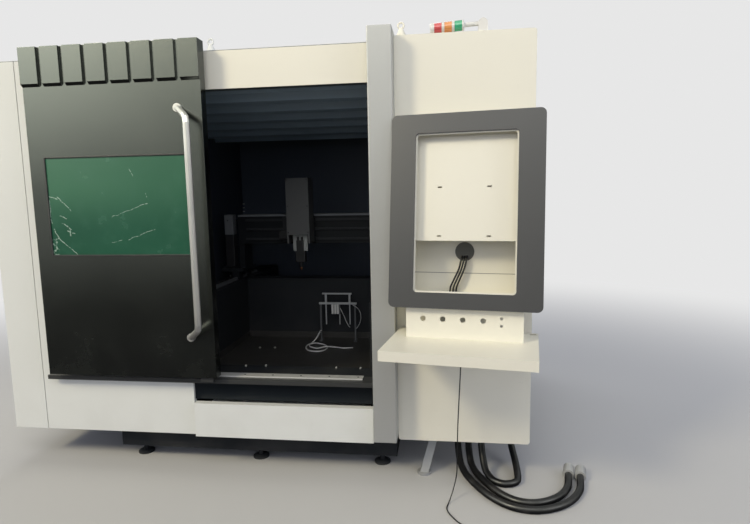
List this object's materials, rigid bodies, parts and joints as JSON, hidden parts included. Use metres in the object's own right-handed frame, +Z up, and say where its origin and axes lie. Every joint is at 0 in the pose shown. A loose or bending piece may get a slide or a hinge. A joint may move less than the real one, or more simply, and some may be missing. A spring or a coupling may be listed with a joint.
{
  "type": "fiber laser cutting machine",
  "caption": "Enclosed sheet-metal fiber laser cutter with a sliding front door, rack-driven gantry and cutting head, scrap drawer, and a hinged operator unit with tray on a side console.",
  "frame": {"origin": "middle of the footprint at floor level, measured without the free cords and hoses", "axes": "+X to the console's side, seen from the operator in front; +Y to the rear; +Z up"},
  "size_m": [2.8027, 2.3586, 2.0615],
  "materials": {
    "white_paint": "smooth semi-gloss powder coat",
    "cream_paint": "smooth semi-gloss powder coat",
    "grey_paint": "light grey powder coat",
    "charcoal_paint": "fine-textured charcoal powder coat",
    "bezel_paint": "dark grey powder coat",
    "interior_paint": "matte dark paint",
    "bed_paint": "matte dark grey paint on a steel weldment",
    "stainless": "bright steel",
    "window_green": "dark green laser-safe glazing",
    "black_rubber": "matte black rubber",
    "motor_black": "black satin paint",
    "cover_grey": "grey powder coat",
    "copper": "bare copper",
    "lamp_plastic": "white plastic with coloured lens bands",
    "pale_tube": "milky plastic tube",
    "zinc_plate": "zinc-plated sheet steel"
  },
  "bodies": {
    "machine": {"left_end_cover": "white_paint", "left_front_panel": "white_paint", "roof_panel": "white_paint", "rear_panel": "white_paint", "header_band": "cream_paint", "console_body": "cream_paint", "console_front": "cream_paint", "pillar": "grey_paint", "sill_ledge": "grey_paint", "console_base": "grey_paint", "recess_panel": "charcoal_paint", "ceiling_ribs": "interior_paint", "left_partition": "interior_paint", "bed_frame": "bed_paint", "chip_floor": "bed_paint", "sill_strip": "stainless", "door_track": "stainless", "y_rack_left": "stainless", "y_rack_right": "stainless", "hose_coupling": "stainless", "hose_coupling_inner": "stainless", "hose_long": "black_rubber", "hose_long_inner": "black_rubber", "hose_loop": "black_rubber", "lamp_base": "lamp_plastic", "air_tube": "pale_tube", "valve_rack": "zinc_plate", "laser_source": "zinc_plate", "drive_plate": "zinc_plate"},
    "door": {"door_leaf": "charcoal_paint", "door_window": "window_green", "door_handle": "stainless"},
    "door_roller_left": {"door_roller_left": "stainless"},
    "door_roller_right": {"door_roller_right": "stainless"},
    "gantry": {"gantry_beam": "cover_grey", "y_motor_left": "motor_black", "y_motor_right": "motor_black"},
    "y_pinion_left": {"y_pinion_left": "stainless"},
    "y_pinion_right": {"y_pinion_right": "stainless"},
    "carriage": {"x_carriage": "cover_grey", "x_motor": "motor_black", "z_actuator": "motor_black", "z_cover": "cover_grey"},
    "x_pinion": {"x_pinion": "stainless"},
    "head": {"z_slide": "zinc_plate", "cutting_head": "motor_black", "nozzle": "copper"},
    "drawer": {"scrap_drawer": "white_paint"},
    "operator_unit": {"operator_housing": "cream_paint", "operator_bezel": "bezel_paint", "monitor_plate": "cream_paint", "cable_grommet": "black_rubber", "button_panel": "cream_paint", "keyboard_tray": "cream_paint", "monitor_cable_1": "black_rubber", "monitor_cable_2": "black_rubber", "monitor_cable_3": "black_rubber", "panel_cord": "black_rubber", "panel_cord_plug": "black_rubber"},
    "lamp": {"lamp_tower": "lamp_plastic"}
  },
  "joints": [
    {"name": "door_slide", "type": "slide", "parent": "machine", "child": "door", "axis": [1, 0, 0], "range_m": [0, 0.72]},
    {"name": "door_roller_left_spin", "type": "hinge", "parent": "door", "child": "door_roller_left", "pos_m": [-0.86684, -0.63072, 1.9866], "axis": [0, 1, 0], "range_deg": [-10, 2960]},
    {"name": "door_roller_right_spin", "type": "hinge", "parent": "door", "child": "door_roller_right", "pos_m": [-0.27284, -0.63072, 1.9866], "axis": [0, 1, 0], "range_deg": [-10, 2960]},
    {"name": "gantry_travel", "type": "slide", "parent": "machine", "child": "gantry", "axis": [0, -1, 0], "range_m": [-0.05, 0.55]},
    {"name": "y_pinion_left_spin", "type": "hinge", "parent": "gantry", "child": "y_pinion_left", "pos_m": [-0.50934, 0.36028, 0.8], "axis": [0, 0, 1], "range_deg": [-140, 1505]},
    {"name": "y_pinion_right_spin", "type": "hinge", "parent": "gantry", "child": "y_pinion_right", "pos_m": [0.63066, 0.36028, 0.8], "axis": [0, 0, 1], "range_deg": [-1505, 140]},
    {"name": "carriage_travel", "type": "slide", "parent": "gantry", "child": "carriage", "axis": [1, 0, 0], "range_m": [-0.27, 0.4]},
    {"name": "x_pinion_spin", "type": "hinge", "parent": "carriage", "child": "x_pinion", "pos_m": [-0.09434, 0.28448, 1.084], "axis": [0, 1, 0], "range_deg": [-1095, 740]},
    {"name": "head_lift", "type": "slide", "parent": "carriage", "child": "head", "axis": [0, 0, -1], "range_m": [0, 0.12]},
    {"name": "drawer_slide", "type": "slide", "parent": "machine", "child": "drawer", "axis": [0, -1, 0], "range_m": [0, 0.6]},
    {"name": "operator_swing", "type": "hinge", "parent": "machine", "child": "operator_unit", "pos_m": [0.69566, -0.78472, 1], "axis": [0, 0, -1], "range_deg": [-9, 36]},
    {"name": "lamp_fold", "type": "hinge", "parent": "machine", "child": "lamp", "pos_m": [1.04266, -0.64972, 2.018], "axis": [0, 1, 0], "range_deg": [0, 93.5]}
  ],
  "couplings": [
    {"joint": "door_roller_left_spin", "follows": "door_slide", "rad_per_m": 71.429},
    {"joint": "door_roller_right_spin", "follows": "door_slide", "rad_per_m": 71.429},
    {"joint": "y_pinion_left_spin", "follows": "gantry_travel", "rad_per_m": 47.619},
    {"joint": "y_pinion_right_spin", "follows": "gantry_travel", "rad_per_m": -47.619},
    {"joint": "x_pinion_spin", "follows": "carriage_travel", "rad_per_m": -47.619}
  ]
}
